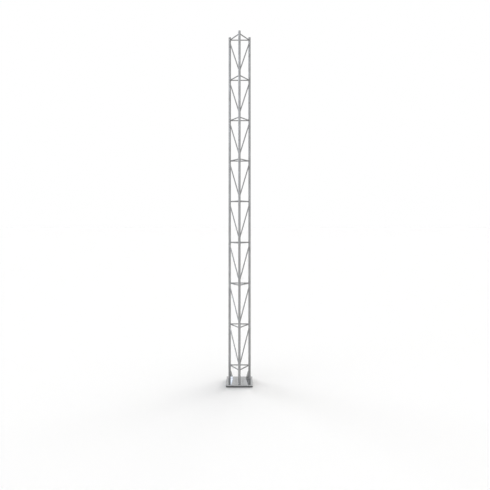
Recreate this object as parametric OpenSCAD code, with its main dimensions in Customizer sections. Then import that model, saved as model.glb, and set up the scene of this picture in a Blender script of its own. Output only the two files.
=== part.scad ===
// Triangular lattice mast on a welded base plate.
// Frame: +Z up, origin on the mast's centre line at the underside of the bedding pad.
// The front leg stands at -Y, the two rear legs at +Y.

/* [Lattice] */
// Distance between the centre lines of two legs
leg_spacing = 341; // [260:1:450]
// Height of one bay, from ring to ring
bay_h = 700; // [450:5:900]
// Number of bays
bay_count = 8; // [2:1:12]
// Height of the lowest ring's centre line above the base plate
first_ring_h = 220; // [180:5:400]
// Length of the leg tops that stand above the highest ring's centre line
leg_stub = 46; // [20:1:150]

/* [Tubes] */
// Outer diameter of the leg tubes
leg_d = 40; // [30:0.5:60]
// Wall of the leg tubes
leg_wall = 3; // [1.5:0.1:6]
// Outer diameter of the ring bars and diagonals
bar_d = 19; // [12:0.5:26]
// Wall of the ring bars and diagonals
bar_wall = 2; // [1:0.1:4]

/* [Diagonals] */
// Depth below the upper ring at which a diagonal meets its rear leg's centre line
diagonal_drop = 37; // [25:1:90]
// Height above the lower ring at which a diagonal meets the front leg's centre line
diagonal_rise = 62; // [25:1:120]

/* [Base] */
// Margin of the base plate beyond the sides of the rear legs
plate_margin_x = 29.5; // [15:0.5:80]
// Margin of the base plate in front of the front leg and behind the rear legs
plate_margin_y = 52.5; // [20:0.5:120]
// Thickness of the base plate
plate_t = 20; // [10:1:40]
// Radius of the base plate's corners
plate_corner_r = 10; // [2:1:25]
// Thickness of the bedding pad under the base plate
pad_t = 16; // [5:1:40]

/* [Gussets] */
// Height of the gussets on the legs
gusset_h = 125; // [60:1:160]
// Length of a gusset's foot beyond the leg's surface
gusset_foot = 50; // [25:1:70]
// Thickness of the gussets
gusset_t = 8; // [4:0.5:15]
// Height of the upright edge at a gusset's toe, and width of the flat at its head
gusset_nose = 8; // [3:0.5:15]

/* [Anchor holes] */
// Diameter of the anchor holes
anchor_d = 22; // [14:0.5:30]
// Distance between the two columns of anchor holes
anchor_pitch_x = 114; // [90:1:160]
// Distance between neighbouring holes along a column
anchor_pitch_y = 121; // [60:1:140]
// Number of holes in a column
anchor_rows = 3; // [2:1:4]

/* [Hidden] */
$fn = 48;
// Air between neighbouring bars where they meet at a leg
corner_gap = 1;
// Overshoot of a cutting body past the surface that it cuts
cut = 1;

// The legs stand on a circle about the mast's centre line
leg_circle_r = leg_spacing / sqrt(3);
face_r = leg_circle_r / 2;
leg_angles = [150, 30, 270];
left = 0;
right = 1;
front = 2;

// Each lattice face is drawn with X along the face and Y outward, then turned into place
rear_face = 0;
left_face = 120;
right_face = 240;
face_turns = [rear_face, left_face, right_face];

plate_top = pad_t + plate_t;
ring_count = bay_count + 1;
first_ring_z = plate_top + first_ring_h;
leg_top = first_ring_z + bay_count * bay_h + leg_stub;
leg_length = leg_top - plate_top;

plate_w = leg_spacing + leg_d + 2 * plate_margin_x;
plate_front = -leg_circle_r - leg_d / 2 - plate_margin_y;
plate_back = face_r + leg_d / 2 + plate_margin_y;
plate_d = plate_back - plate_front;
plate_centre_y = (plate_back + plate_front) / 2;

// The middle of the anchor holes lies halfway between the mast's centre line and the front leg
anchor_centre_y = -leg_circle_r / 2;

ring_names = [for (i = [1:ring_count]) str("ring_", i)];
left_diagonal_names = [for (i = [1:bay_count]) str("diagonal_left_", i)];
right_diagonal_names = [for (i = [1:bay_count]) str("diagonal_right_", i)];

function ring_z(i) = first_ring_z + (i - 1) * bay_h;

module rounded_rectangle(width, depth, r) {
    square([width - 2 * r, depth], center = true);
    square([width, depth - 2 * r], center = true);
    for (x = [-1, 1], y = [-1, 1])
        translate([x * (width / 2 - r), y * (depth / 2 - r)])
            circle(r);
}

module plate_outline() {
    translate([0, plate_centre_y])
        rounded_rectangle(plate_w, plate_d, plate_corner_r);
}

module anchor_hole_centres() {
    for (x = [-1, 1], row = [0:anchor_rows - 1])
        translate([
            x * anchor_pitch_x / 2,
            anchor_centre_y + (row - (anchor_rows - 1) / 2) * anchor_pitch_y,
        ])
            children();
}

// A sheet with the base plate's outline and anchor holes, from z to z + thickness
module base_sheet(z, thickness) {
    translate([0, 0, z])
        difference() {
            linear_extrude(thickness)
                plate_outline();
            anchor_hole_centres()
                translate([0, 0, -cut])
                    cylinder(d = anchor_d, h = thickness + 2 * cut);
        }
}

// A round tube from point a to point b, both in the XZ plane of a face
module face_tube(a, b, outer_d, wall) {
    along = b - a;
    translate(a)
        rotate([0, atan2(along[0], along[2]), 0])
            difference() {
                cylinder(d = outer_d, h = norm(along));
                translate([0, 0, -cut])
                    cylinder(d = outer_d - 2 * wall, h = norm(along) + 2 * cut);
            }
}

// The wedge of space that belongs to one face, short of the planes through the legs
module face_wedge(z_low, z_high) {
    apex = corner_gap / 2 / sin(60);
    reach = 2 * leg_spacing;
    translate([0, 0, z_low])
        linear_extrude(z_high - z_low)
            polygon([
                [0, apex],
                [reach * cos(30), apex + reach * sin(30)],
                [-reach * cos(30), apex + reach * sin(30)],
            ]);
}

// A bar between the centre lines of a face's two legs, cut to fit against the leg tubes
module coped_bar(turn, a, b) {
    z_low = min(a[2], b[2]) - bar_d;
    z_high = max(a[2], b[2]) + bar_d;
    rotate([0, 0, turn])
        difference() {
            intersection() {
                translate([0, face_r, 0])
                    face_tube(a, b, bar_d, bar_wall);
                face_wedge(z_low, z_high);
            }
            for (side = [-1, 1])
                translate([side * leg_spacing / 2, face_r, z_low])
                    cylinder(d = leg_d, h = z_high - z_low);
        }
}

module base_pad() {
    color("#1d1e20") base_sheet(0, pad_t);
}

module base_plate() {
    color("#b4b8be") base_sheet(pad_t, plate_t);
}

module leg(which) {
    color("#a3a4a6")
        rotate([0, 0, leg_angles[which]])
            translate([leg_circle_r, 0, plate_top])
                difference() {
                    cylinder(d = leg_d, h = leg_length);
                    translate([0, 0, -cut])
                        cylinder(d = leg_d - 2 * leg_wall, h = leg_length + 2 * cut);
                }
}

// A welded stiffener that stands on the plate and points from the leg to the mast's centre line
module gusset(which) {
    toe = leg_circle_r - leg_d / 2 - gusset_foot;
    head = leg_circle_r - leg_d / 2 - gusset_nose;
    color("#a3a4a6")
        rotate([0, 0, leg_angles[which]])
            translate([0, 0, plate_top])
                difference() {
                    rotate([90, 0, 0])
                        linear_extrude(gusset_t, center = true)
                            polygon([
                                [toe, 0],
                                [leg_circle_r, 0],
                                [leg_circle_r, gusset_h],
                                [head, gusset_h],
                                [toe, gusset_nose],
                            ]);
                    translate([leg_circle_r, 0, -cut])
                        cylinder(d = leg_d, h = gusset_h + 2 * cut);
                }
}

// Three level bars that tie the legs together
module ring(i) {
    half = leg_spacing / 2;
    color("#a9abad")
        for (turn = face_turns)
            coped_bar(turn, [-half, 0, ring_z(i)], [half, 0, ring_z(i)]);
}

// The diagonal of bay i on a front face, from high on the rear leg to low on the front leg.
// rear_side is 1 where the rear leg stands at the +X end of the face, else -1.
module diagonal(turn, rear_side, i) {
    half = leg_spacing / 2;
    foot = [-rear_side * half, 0, ring_z(i) + diagonal_rise];
    head = [rear_side * half, 0, ring_z(i + 1) - diagonal_drop];
    color("#a9abad") coped_bar(turn, foot, head);
}

base_pad();
base_plate();
leg(left);  // leg_left
leg(right);  // leg_right
leg(front);  // leg_front
gusset(left);  // gusset_left
gusset(right);  // gusset_right
gusset(front);  // gusset_front
for (i = [1:ring_count])
    ring(i);
for (i = [1:bay_count]) {
    diagonal(left_face, 1, i);
    diagonal(right_face, -1, i);
}
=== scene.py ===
"""Looks of the triangular lattice mast: finishes, weld beads, studio and camera.

Everything is in metres in the CAD frame: +Z up, the mast's centre line on the Z axis, the floor at Z = 0,
the front leg at -Y. The weld beads' places come from the boxes of the CAD nodes.
"""

import math

import bmesh
import bpy
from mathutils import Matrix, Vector


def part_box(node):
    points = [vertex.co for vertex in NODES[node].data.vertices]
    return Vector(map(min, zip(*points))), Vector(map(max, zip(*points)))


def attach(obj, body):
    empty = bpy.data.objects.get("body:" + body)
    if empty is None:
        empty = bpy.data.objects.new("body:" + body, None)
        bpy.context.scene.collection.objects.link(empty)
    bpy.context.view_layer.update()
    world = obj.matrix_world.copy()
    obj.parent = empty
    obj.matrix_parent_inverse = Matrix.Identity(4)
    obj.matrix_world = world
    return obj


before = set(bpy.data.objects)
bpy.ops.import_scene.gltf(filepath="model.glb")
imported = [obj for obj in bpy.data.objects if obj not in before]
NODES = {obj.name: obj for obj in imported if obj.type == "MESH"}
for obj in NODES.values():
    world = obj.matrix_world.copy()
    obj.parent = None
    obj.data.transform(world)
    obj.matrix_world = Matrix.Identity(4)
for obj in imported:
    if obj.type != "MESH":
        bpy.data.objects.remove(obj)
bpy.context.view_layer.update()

MM = 0.001
UP = Vector((0, 0, 1))
SIDES = ("left", "right", "front")

# ---------------------------------------------------------------------------
# Sizes read from the frame
# ---------------------------------------------------------------------------


def middle(node):
    low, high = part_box(node)
    return (Vector(low) + Vector(high)) / 2


def span(node):
    low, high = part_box(node)
    return Vector(high) - Vector(low)


def numbered(prefix):
    """The nodes named prefix and a number, in the numbers' order."""
    return sorted((name for name in NODES if name.startswith(prefix)), key=lambda name: int(name[len(prefix):]))


PLATE_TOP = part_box("base_plate")[1][2]
LEG_R = span("leg_front").x / 2
BAR_R = span("ring_1").z / 2
LEG_AXIS = {side: Vector((middle(f"leg_{side}").x, middle(f"leg_{side}").y, 0)) for side in SIDES}
LEG_SPACING = (LEG_AXIS["left"] - LEG_AXIS["right"]).length
RINGS = numbered("ring_")
DIAGONALS = {side: numbered(f"diagonal_{side}_") for side in ("left", "right")}
TOP_RING_Z = middle(RINGS[-1]).z
GUSSET_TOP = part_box("gusset_front")[1][2]
GUSSET_HALF = span("gusset_front").x / 2
GUSSET_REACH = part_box("gusset_front")[1][1] - LEG_AXIS["front"].y


def diagonal_ends(node, side):
    """Where a diagonal's centre line meets the centre lines of its rear leg and of the front leg.

    The bar's box is lower than its centre line's rise, because its ends are cut to the legs. How much lower
    depends on the slope, so the rise is settled in a few rounds.
    """
    low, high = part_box(node)
    box_height = high[2] - low[2]
    rise = box_height
    rounds = 20
    for _ in range(rounds):
        slope = math.atan2(LEG_SPACING, rise)
        rise = box_height + 2 * (LEG_R / math.tan(slope) - BAR_R / math.sin(slope))
    centre = (high[2] + low[2]) / 2
    return LEG_AXIS[side] + UP * (centre + rise / 2), LEG_AXIS["front"] + UP * (centre - rise / 2)


# ---------------------------------------------------------------------------
# Materials
# ---------------------------------------------------------------------------


def maths_node(tree, operation, *values):
    """The output of a new maths node in the tree. Each value is a number or an output."""
    node = tree.nodes.new("ShaderNodeMath")
    node.operation = operation
    for socket, value in zip(node.inputs, values):
        if isinstance(value, (int, float)):
            socket.default_value = value
        else:
            tree.links.new(value, socket)
    return node.outputs["Value"]


class Shader:
    """A material under construction: short ways to add nodes and to join them."""

    def __init__(self, name):
        self.material = bpy.data.materials.new(name)
        self.material.use_nodes = True
        self.tree = self.material.node_tree
        self.surface = self.tree.nodes["Principled BSDF"]
        self.place = self.add("ShaderNodeTexCoord").outputs["Object"]

    def add(self, kind, **settings):
        node = self.tree.nodes.new(kind)
        for key, value in settings.items():
            setattr(node, key, value)
        return node

    def join(self, source, target):
        self.tree.links.new(source, target)

    def maths(self, operation, *values):
        return maths_node(self.tree, operation, *values)

    def parts(self, vector):
        """The outputs X, Y and Z of a vector."""
        split = self.add("ShaderNodeSeparateXYZ")
        self.join(vector, split.inputs["Vector"])
        return split.outputs

    def turned(self, vector, angles):
        """The vector turned by Euler angles."""
        rotate = self.add("ShaderNodeVectorRotate", rotation_type="EULER_XYZ")
        rotate.inputs["Rotation"].default_value = angles
        self.join(vector, rotate.inputs["Vector"])
        return rotate.outputs["Vector"]

    def scaled(self, vector, scale):
        """The vector scaled along each axis."""
        multiply = self.add("ShaderNodeVectorMath", operation="MULTIPLY")
        self.join(vector, multiply.inputs[0])
        multiply.inputs[1].default_value = scale
        return multiply.outputs["Vector"]

    def noise(self, vector, scale, detail, roughness, distortion=0):
        node = self.add("ShaderNodeTexNoise")
        self.join(vector, node.inputs["Vector"])
        node.inputs["Scale"].default_value = scale
        node.inputs["Detail"].default_value = detail
        node.inputs["Roughness"].default_value = roughness
        node.inputs["Distortion"].default_value = distortion
        return node.outputs["Fac"]

    def ramp(self, value, low, high, to_low=0.0, to_high=1.0):
        """value, with low..high stretched to to_low..to_high and held beyond."""
        node = self.add("ShaderNodeMapRange")
        self.join(value, node.inputs["Value"])
        for name, number in zip(("From Min", "From Max", "To Min", "To Max"), (low, high, to_low, to_high)):
            node.inputs[name].default_value = number
        return node.outputs["Result"]

    def blend(self, factor, a, b):
        """Colour a where factor is 0, b where it is 1. Each is a colour or an output."""
        node = self.add("ShaderNodeMix", data_type="RGBA")
        self.join(factor, [socket for socket in node.inputs if socket.type == "VALUE"][0])
        a_socket, b_socket = [socket for socket in node.inputs if socket.type == "RGBA"]
        for socket, value in ((a_socket, a), (b_socket, b)):
            if isinstance(value, tuple):
                socket.default_value = (*value, 1)
            else:
                self.join(value, socket)
        return [socket for socket in node.outputs if socket.type == "RGBA"][0]

    def bump(self, height, distance, strength):
        node = self.add("ShaderNodeBump")
        node.inputs["Strength"].default_value = strength
        node.inputs["Distance"].default_value = distance
        self.join(height, node.inputs["Height"])
        return node.outputs["Normal"]

    def finish(self, **sockets):
        """Sets the surface's sockets, each to a number, a colour or an output, and gives the material."""
        for name, value in sockets.items():
            socket = self.surface.inputs[name.replace("_", " ").title()]
            if isinstance(value, (int, float, tuple)):
                socket.default_value = value
            else:
                self.join(value, socket)
        return self.material


def grey(level, warmth=0.0):
    """A near-neutral linear colour: warmth above 0 leans to yellow, below 0 to blue."""
    return (level * (1 + warmth), level, level * (1 - warmth))


def snapped_to_face(shader, vector):
    """The vector turned about Z so that the lattice face it is in lies like the rear face, along X."""
    third = 2 * math.pi / 3
    split = shader.parts(vector)
    angle = shader.maths("ARCTAN2", split["X"], split["Y"])
    steps = shader.maths("ROUND", shader.maths("DIVIDE", angle, third))
    rotate = shader.add("ShaderNodeVectorRotate", rotation_type="Z_AXIS")
    shader.join(vector, rotate.inputs["Vector"])
    shader.join(shader.maths("MULTIPLY", steps, third), rotate.inputs["Angle"])
    return rotate.outputs["Vector"]


def drawn_tube(name, level, rough, along, lay=None):
    """Mill-finish aluminium tube: die lines along its length, dull patches and a few scuffs.

    lay turns a place in the object's frame, so that the tube lies along the axis that along names: 0 for X,
    2 for Z. It is called with the shader and the place.
    """
    shader = Shader(name)
    place = lay(shader, shader.place) if lay else shader.place
    stretch = [1.0, 1.0, 1.0]
    stretch[along] = 0.02
    lengthwise = shader.scaled(place, stretch)
    lines = shader.noise(lengthwise, scale=900, detail=3, roughness=0.7)
    broad_lines = shader.noise(lengthwise, scale=160, detail=2, roughness=0.5)
    patches = shader.noise(place, scale=7, detail=5, roughness=0.6, distortion=0.4)
    specks = shader.noise(place, scale=420, detail=3, roughness=0.6)
    long_blots = shader.noise(shader.scaled(place, (1, 1, 0.35)), scale=38, detail=6, roughness=0.75)
    scuffs = shader.ramp(long_blots, 0.63, 0.70)

    tone = shader.blend(shader.ramp(patches, 0.35, 0.68), grey(level * 0.88), grey(level * 1.14, -0.012))
    tone = shader.blend(shader.ramp(broad_lines, 0.3, 0.75, to_high=0.6), tone, grey(level * 0.80))
    tone = shader.blend(shader.ramp(lines, 0.50, 0.75, to_high=0.5), tone, grey(level * 1.30))
    tone = shader.blend(shader.maths("MULTIPLY", scuffs, 0.7), tone, grey(level * 1.5))
    patch_roughness = shader.ramp(patches, 0.3, 0.7, rough + 0.06, rough - 0.06)
    line_roughness = shader.ramp(lines, 0.3, 0.7, -0.05, 0.05)
    height = shader.maths("ADD", lines, shader.maths("MULTIPLY", specks, 0.35))
    return shader.finish(
        base_color=tone,
        metallic=1.0,
        roughness=shader.maths("ADD", patch_roughness, line_roughness),
        specular_tint=TUBE_EDGE_TINT,
        normal=shader.bump(height, distance=0.05 * MM, strength=0.6),
    )


def diagonal_tube(side, level, rough):
    """The material of one side's diagonals, which all lie at one slant."""
    head, foot = diagonal_ends(DIAGONALS[side][0], side)
    reach = head - foot
    heading = math.atan2(reach.y, reach.x)
    slant = math.atan2(math.hypot(reach.x, reach.y), reach.z)

    def upright(shader, place):
        return shader.turned(shader.turned(place, (0, 0, -heading)), (0, -slant, 0))

    return drawn_tube(f"diagonal_{side}_tube", level, rough, along=2, lay=upright)


def rolled_sheet(name, level, rough, lean, side_lit_level=None):
    """Bright rolled sheet: mirror-like, with faint rolling lines, hairline scratches and dull stains.

    Given a level for them, the faces that aren't level are sawn: duller, with upright saw marks, and painted
    lighter to that level, a painted highlight that lifts the plate's front face.
    """
    shader = Shader(name)
    place = shader.place
    rolling = shader.noise(shader.scaled(place, (0.03, 1, 1)), scale=420, detail=3, roughness=0.65)
    stains = shader.noise(place, scale=9, detail=5, roughness=0.62, distortion=0.8)
    slanting = shader.scaled(shader.turned(place, (0, 0, 0.5)), (1, 0.02, 1))
    crossing = shader.scaled(shader.turned(place, (0, 0, -0.35)), (0.02, 1, 1))
    scratches = shader.maths(
        "MAXIMUM",
        shader.ramp(shader.noise(slanting, scale=260, detail=2, roughness=0.5), 0.66, 0.70),
        shader.ramp(shader.noise(crossing, scale=310, detail=2, roughness=0.5), 0.67, 0.71),
    )
    tone = shader.blend(shader.ramp(stains, 0.35, 0.65), grey(level * 0.93, lean), grey(level * 1.05, lean))
    tone = shader.blend(shader.maths("MULTIPLY", scratches, 0.25), tone, grey(level * 1.3, lean))
    stain_roughness = shader.ramp(stains, 0.35, 0.7, rough, rough + 0.07)
    roughness = shader.maths("ADD", stain_roughness, shader.maths("MULTIPLY", scratches, 0.12))
    height = shader.maths("ADD", rolling, shader.maths("MULTIPLY", scratches, -0.8))
    if side_lit_level is not None:
        facing = shader.parts(shader.add("ShaderNodeTexCoord").outputs["Normal"])
        sawn = shader.maths("LESS_THAN", shader.maths("ABSOLUTE", facing["Z"]), 0.5)
        marks = shader.noise(shader.scaled(place, (1, 1, 0.04)), scale=700, detail=3, roughness=0.7)
        # The side faces' colour: saw marks over a lighter tone, which is painted highlight
        cut = shader.blend(marks, grey(side_lit_level * 0.88, lean), grey(side_lit_level * 1.10, lean))
        tone = shader.blend(sawn, tone, cut)
        roughness = shader.maths("ADD", roughness, shader.maths("MULTIPLY", sawn, 0.22))
        grooves = shader.maths("MULTIPLY", shader.maths("MULTIPLY", sawn, marks), 2.0)
        height = shader.maths("ADD", height, grooves)
    return shader.finish(
        base_color=tone,
        metallic=1.0,
        roughness=roughness,
        normal=shader.bump(height, distance=0.02 * MM, strength=0.5),
    )


def weld_metal(name, level):
    """Satin bead metal, in lighter and darker patches."""
    shader = Shader(name)
    patches = shader.noise(shader.place, scale=160, detail=4, roughness=0.6, distortion=0.3)
    grains = shader.noise(shader.place, scale=1400, detail=3, roughness=0.6)
    return shader.finish(
        base_color=shader.blend(shader.ramp(patches, 0.35, 0.65), grey(level * 0.82), grey(level * 1.12)),
        metallic=1.0,
        roughness=shader.ramp(patches, 0.3, 0.7, 0.50, 0.32),
        normal=shader.bump(grains, distance=0.08 * MM, strength=0.5),
    )


def shade_black_pad(name):
    """Matt black pad under the plate, whose black paints the dark shade line below the plate's front edge: fine
    grain, dust worn into it.
    """
    black = (0.030, 0.030, 0.031)
    dusty = (0.065, 0.064, 0.062)
    shader = Shader(name)
    grain = shader.noise(shader.place, scale=900, detail=4, roughness=0.6)
    dust = shader.noise(shader.place, scale=24, detail=5, roughness=0.65, distortion=0.5)
    return shader.finish(
        base_color=shader.blend(shader.ramp(dust, 0.45, 0.75, to_high=0.5), black, dusty),
        roughness=shader.ramp(dust, 0.4, 0.7, 0.62, 0.85),
        normal=shader.bump(grain, distance=0.15 * MM, strength=0.7),
    )


def paint(node, material):
    """Gives a CAD node one material."""
    slots = NODES[node].data.materials
    slots.clear()
    slots.append(material)


# How bright each metal is, as a linear grey, and how rough
LEG_LEVEL = 0.345
BAR_LEVEL = 0.345
# The right diagonals are the same metal as the left ones, painted darker: painted shade for the side that the
# lamps light less
RIGHT_DIAGONAL_SHADED_LEVEL = 0.31
PLATE_LEVEL = 0.37
# The plate's side faces are painted lighter than its top: a painted highlight that lifts its front face
PLATE_SIDE_LIT_LEVEL = 0.50
BEAD_LEVEL = 0.46
LEG_ROUGH = 0.40
BAR_ROUGH = 0.30
GUSSET_ROUGH = 0.12
PLATE_ROUGH = 0.05

# The oxide on a drawn tube keeps its surface from brightening where it is seen at a glancing angle
TUBE_EDGE_TINT = (0.4, 0.4, 0.4, 1)

leg_material = drawn_tube("leg_tube", LEG_LEVEL, LEG_ROUGH, along=2)
ring_material = drawn_tube("ring_tube", BAR_LEVEL, BAR_ROUGH, along=0, lay=snapped_to_face)
gusset_material = rolled_sheet("gusset_sheet", LEG_LEVEL, GUSSET_ROUGH, lean=0.0)
plate_material = rolled_sheet("plate_sheet", PLATE_LEVEL, PLATE_ROUGH, lean=-0.015, side_lit_level=PLATE_SIDE_LIT_LEVEL)
# The pad's black paints the shade line under the plate's front edge
pad_material = shade_black_pad("pad_painted_shade")
bead_material = weld_metal("weld_bead", BEAD_LEVEL)
diagonal_materials = {
    "left": diagonal_tube("left", BAR_LEVEL, BAR_ROUGH),
    # The right side's diagonals take the darker level: painted shade
    "right": diagonal_tube("right", RIGHT_DIAGONAL_SHADED_LEVEL, BAR_ROUGH),
}

for side in SIDES:
    paint(f"leg_{side}", leg_material)
    paint(f"gusset_{side}", gusset_material)
for name in RINGS:
    paint(name, ring_material)
for side, names in DIAGONALS.items():
    for name in names:
        paint(name, diagonal_materials[side])
paint("base_plate", plate_material)
paint("base_pad", pad_material)

# ---------------------------------------------------------------------------
# Weld beads
# ---------------------------------------------------------------------------

# Half-widths
BAR_BEAD = 2.6 * MM
FOOT_BEAD = 4.0 * MM
GUSSET_BEAD = 2.8 * MM

BEAD_SIDES = 8
RIPPLE = 2.6 * MM
LOOPS_PER_RIPPLE = 3
RIPPLE_CREST = 1.06
RIPPLE_DROP = 0.16
RIPPLE_LEAN = 0.25 * RIPPLE


def round_angles(count):
    return [2 * math.pi * k / count for k in range(count)]


def resampled(points, step):
    """Points at even steps of about the given length round a closed polyline."""
    corners = points + [points[0]]
    lengths = [0.0]
    for a, b in zip(corners, corners[1:]):
        lengths.append(lengths[-1] + (b - a).length)
    count = max(4, round(lengths[-1] / step))
    result = []
    at = 0
    for i in range(count):
        wanted = lengths[-1] * i / count
        while at < len(corners) - 2 and lengths[at + 1] < wanted:
            at += 1
        part = (wanted - lengths[at]) / (lengths[at + 1] - lengths[at])
        result.append(corners[at].lerp(corners[at + 1], part))
    return result


def add_bead(mesh, path, size):
    """A rippled bead of the given half-width round a closed path.

    Each ripple starts wide and leans back over the one before, then narrows until the next one starts.
    """
    points = resampled(path, RIPPLE / LOOPS_PER_RIPPLE)
    count = len(points)
    loops = []
    side_way = None
    for i, point in enumerate(points):
        forward = (points[(i + 1) % count] - points[i - 1]).normalized()
        if side_way is None:
            side_way = forward.orthogonal().normalized()
        side_way = (side_way - forward * side_way.dot(forward)).normalized()
        other_way = forward.cross(side_way)
        phase = (i % LOOPS_PER_RIPPLE) / LOOPS_PER_RIPPLE
        radius = size * (RIPPLE_CREST - RIPPLE_DROP * phase)
        centre = point - forward * (RIPPLE_LEAN * (1 - phase))
        loops.append(
            [
                mesh.verts.new(centre + (side_way * math.cos(angle) + other_way * math.sin(angle)) * radius)
                for angle in round_angles(BEAD_SIDES)
            ]
        )
    for a, b in zip(loops, loops[1:]):
        join_loops(mesh, a, b, 0)
    last, first = loops[-1], loops[0]
    nearest = min(range(BEAD_SIDES), key=lambda k: (last[0].co - first[k].co).length)
    join_loops(mesh, last, first, nearest)


def join_loops(mesh, a, b, shift):
    """Faces from loop a to loop b, whose vertex number shift meets a's first."""
    for k in range(BEAD_SIDES):
        after = (k + 1) % BEAD_SIDES
        mesh.faces.new((a[k], a[after], b[(after + shift) % BEAD_SIDES], b[(k + shift) % BEAD_SIDES]))


def bar_seam(meeting, direction):
    """The seam between a bar and a leg: the bar's centre line leaves the leg's at meeting, along direction."""
    flat = Vector((direction.x, direction.y, 0))
    run = flat.length
    flat = flat / run
    across = Vector((-flat.y, flat.x, 0))
    upper = across.cross(direction).normalized()
    if upper.z < 0:
        upper = -upper
    lean = upper.dot(flat)
    seam = []
    for angle in round_angles(48):
        aside = BAR_R * math.sin(angle)
        above = BAR_R * math.cos(angle)
        reach = (math.sqrt(LEG_R**2 - aside**2) - above * lean) / run
        seam.append(meeting + direction * reach + upper * above + across * aside)
    return seam


def foot_seam(side):
    """The circle where a leg stands on the plate."""
    base = LEG_AXIS[side] + UP * PLATE_TOP
    return [base + Vector((math.cos(angle), math.sin(angle), 0)) * LEG_R for angle in round_angles(64)]


def gusset_seam(side):
    """Down one flank of a gusset at its leg, out and back round its foot, up the other flank, and across."""
    inward = -LEG_AXIS[side].normalized()
    across = Vector((-inward.y, inward.x, 0)) * GUSSET_HALF
    at_leg = math.sqrt(LEG_R**2 - GUSSET_HALF**2)
    corners = (
        (at_leg, -1, GUSSET_TOP),
        (at_leg, -1, PLATE_TOP),
        (GUSSET_REACH, -1, PLATE_TOP),
        (GUSSET_REACH, 1, PLATE_TOP),
        (at_leg, 1, PLATE_TOP),
        (at_leg, 1, GUSSET_TOP),
    )
    return [LEG_AXIS[side] + inward * reach + across * flank + UP * height for reach, flank, height in corners]


def weld(name, seams, size):
    """One object with a bead along each seam, which rides with the mast."""
    mesh = bmesh.new()
    for seam in seams:
        add_bead(mesh, seam, size)
    bmesh.ops.recalc_face_normals(mesh, faces=mesh.faces)
    data = bpy.data.meshes.new(name)
    mesh.to_mesh(data)
    mesh.free()
    for polygon in data.polygons:
        polygon.use_smooth = True
    data.materials.append(bead_material)
    piece = bpy.data.objects.new(name, data)
    bpy.context.scene.collection.objects.link(piece)
    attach(piece, "root")


for name in RINGS:
    height = UP * middle(name).z
    seams = []
    for a, b in (("left", "right"), ("right", "front"), ("front", "left")):
        along = (LEG_AXIS[b] - LEG_AXIS[a]).normalized()
        seams += [bar_seam(LEG_AXIS[a] + height, along), bar_seam(LEG_AXIS[b] + height, -along)]
    weld(f"{name}_welds", seams, BAR_BEAD)

for side, names in DIAGONALS.items():
    for name in names:
        head, foot = diagonal_ends(name, side)
        down = (foot - head).normalized()
        weld(f"{name}_welds", [bar_seam(head, down), bar_seam(foot, -down)], BAR_BEAD)

for side in SIDES:
    weld(f"leg_{side}_foot_weld", [foot_seam(side)], FOOT_BEAD)
for side in SIDES:
    weld(f"gusset_{side}_welds", [gusset_seam(side)], GUSSET_BEAD)

# ---------------------------------------------------------------------------
# Studio
# ---------------------------------------------------------------------------

# The world's brightness as a light. Where it is seen, directly or in the metal, it is white.
AMBIENT = 0.05

# The tinted panels' colour, and the other panels', which makes up for it on the floor
COOL = (0.80, 0.87, 1.0)
WARM = (1.0, 0.988, 0.967)
PANEL_DISTANCE = 12

FLOOR_SIZE = 400.0
FLOOR_COLOUR = 0.90

# The seen floor's own light is missing up to the first distance below from the mast's centre line, then grows
# towards FLOOR_GLOW over about the second: a painted shadow round the mast's foot
FLOOR_GLOW = 0.10
PAINTED_SHADOW_CORE = 0.25
PAINTED_SHADOW_FADE = 0.7


def seen_by(tree, *rays):
    """1 for the given kinds of ray, else 0."""
    light_path = tree.nodes.new("ShaderNodeLightPath")
    total = light_path.outputs[rays[0]]
    for ray in rays[1:]:
        total = maths_node(tree, "MAXIMUM", total, light_path.outputs[ray])
    return total


world = bpy.data.worlds.new("studio")
bpy.context.scene.world = world
world.use_nodes = True
tree = world.node_tree
background = tree.nodes["Background"]
background.inputs["Color"].default_value = (1, 1, 1, 1)
strength = tree.nodes.new("ShaderNodeMapRange")
strength.inputs["To Min"].default_value = AMBIENT
strength.inputs["To Max"].default_value = 1.0
tree.links.new(seen_by(tree, "Is Camera Ray", "Is Glossy Ray", "Is Transmission Ray"), strength.inputs["Value"])
tree.links.new(strength.outputs["Result"], background.inputs["Strength"])


def panel(name, azimuth, elevation, width, share, tint=None):
    """A wide, far lamp. Azimuth 0 is behind the mast, at +Y, and grows towards +X; width is its angle.

    share is the part of a level white surface's full brightness that it gives. Only a tinted panel shows in
    the metal, which mirrors the white world and floor besides.
    """
    turn, rise = math.radians(azimuth), math.radians(elevation)
    towards = Vector((math.sin(turn) * math.cos(rise), math.cos(turn) * math.cos(rise), math.sin(rise)))
    lamp = bpy.data.lights.new(name, "SUN")
    lamp.angle = math.radians(width)
    lamp.energy = share * (1 - AMBIENT) * math.pi / math.sin(rise)
    lamp.color = tint or WARM
    piece = bpy.data.objects.new(name, lamp)
    piece.location = towards * PANEL_DISTANCE
    piece.rotation_mode = "QUATERNION"
    piece.rotation_quaternion = towards.to_track_quat("Z", "Y")
    piece.visible_glossy = tint is not None
    bpy.context.scene.collection.objects.link(piece)


panel("back_right_high_a", azimuth=43, elevation=60, width=36, share=0.19)
panel("back_right_high_b", azimuth=21, elevation=60, width=36, share=0.15)
panel("back_right_low_a", azimuth=50, elevation=11, width=20, share=0.09)
panel("back_right_low_b", azimuth=33, elevation=11, width=20, share=0.07)
panel("back_right_low_c", azimuth=16, elevation=11, width=20, share=0.07)
panel("back_left_high", azimuth=325, elevation=60, width=46, share=0.15)
panel("back_left_middle", azimuth=312, elevation=36, width=26, share=0.08, tint=COOL)
panel("back_left_low_a", azimuth=318, elevation=11, width=20, share=0.06)
panel("back_left_low_b", azimuth=302, elevation=11, width=20, share=0.05)
panel("right_low", azimuth=75, elevation=20, width=24, share=0.03)
panel("front_right_low", azimuth=105, elevation=20, width=24, share=0.02)
panel("front_left_low", azimuth=216, elevation=20, width=24, share=0.02)
panel("left_low", azimuth=240, elevation=15, width=20, share=0.05, tint=COOL)

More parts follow.
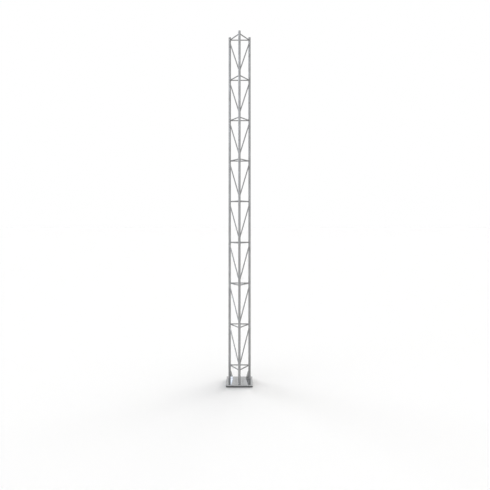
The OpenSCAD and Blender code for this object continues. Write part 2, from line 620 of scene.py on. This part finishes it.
half = FLOOR_SIZE / 2
floor_mesh = bpy.data.meshes.new("floor")
floor_mesh.from_pydata(
    [(-half, -half, 0), (half, -half, 0), (half, half, 0), (-half, half, 0)], [], [(0, 1, 2, 3)]
)
floor = bpy.data.objects.new("floor", floor_mesh)
bpy.context.scene.collection.objects.link(floor)

floor_material = bpy.data.materials.new("floor")
floor_material.use_nodes = True
floor_mesh.materials.append(floor_material)
tree = floor_material.node_tree
matt = tree.nodes["Principled BSDF"]
matt.inputs["Base Color"].default_value = (FLOOR_COLOUR, FLOOR_COLOUR, FLOOR_COLOUR, 1)
matt.inputs["Roughness"].default_value = 1.0
matt.inputs["Specular IOR Level"].default_value = 0.0
matt.inputs["Emission Color"].default_value = (1, 1, 1, 1)
distance = tree.nodes.new("ShaderNodeVectorMath")
distance.operation = "LENGTH"
tree.links.new(tree.nodes.new("ShaderNodeTexCoord").outputs["Object"], distance.inputs[0])
# No glow near the mast and more further out: painted shadow round the mast's foot
past_start = maths_node(tree, "SUBTRACT", distance.outputs["Value"], PAINTED_SHADOW_CORE)
fall = maths_node(tree, "MINIMUM", maths_node(tree, "DIVIDE", past_start, -PAINTED_SHADOW_FADE), 0.0)
clear_of_painted_shadow = maths_node(tree, "SUBTRACT", 1.0, maths_node(tree, "EXPONENT", fall))
glow = maths_node(tree, "MULTIPLY", clear_of_painted_shadow, FLOOR_GLOW)
glow = maths_node(tree, "MULTIPLY", glow, seen_by(tree, "Is Camera Ray", "Is Glossy Ray"))
tree.links.new(glow, matt.inputs["Emission Strength"])

# ---------------------------------------------------------------------------
# Camera
# ---------------------------------------------------------------------------

CAMERA_SIDE = 0.093
CAMERA_BACK = 8.272
CAMERA_BELOW_TOP_RING = 3.138
CAMERA_PITCH = math.radians(0.986)
CAMERA_LENS = 35.70
CAMERA_SHIFT = -0.0656
SENSOR_WIDTH = 36

camera_data = bpy.data.cameras.new("camera")
camera_data.sensor_width = SENSOR_WIDTH
camera_data.lens = CAMERA_LENS
camera_data.shift_y = CAMERA_SHIFT
camera = bpy.data.objects.new("camera", camera_data)
camera.location = (CAMERA_SIDE, -CAMERA_BACK, TOP_RING_Z - CAMERA_BELOW_TOP_RING)
camera.rotation_euler = (math.pi / 2 + CAMERA_PITCH, 0, 0)
bpy.context.scene.collection.objects.link(camera)
bpy.context.scene.camera = camera
bpy.context.scene.view_settings.view_transform = "Standard"
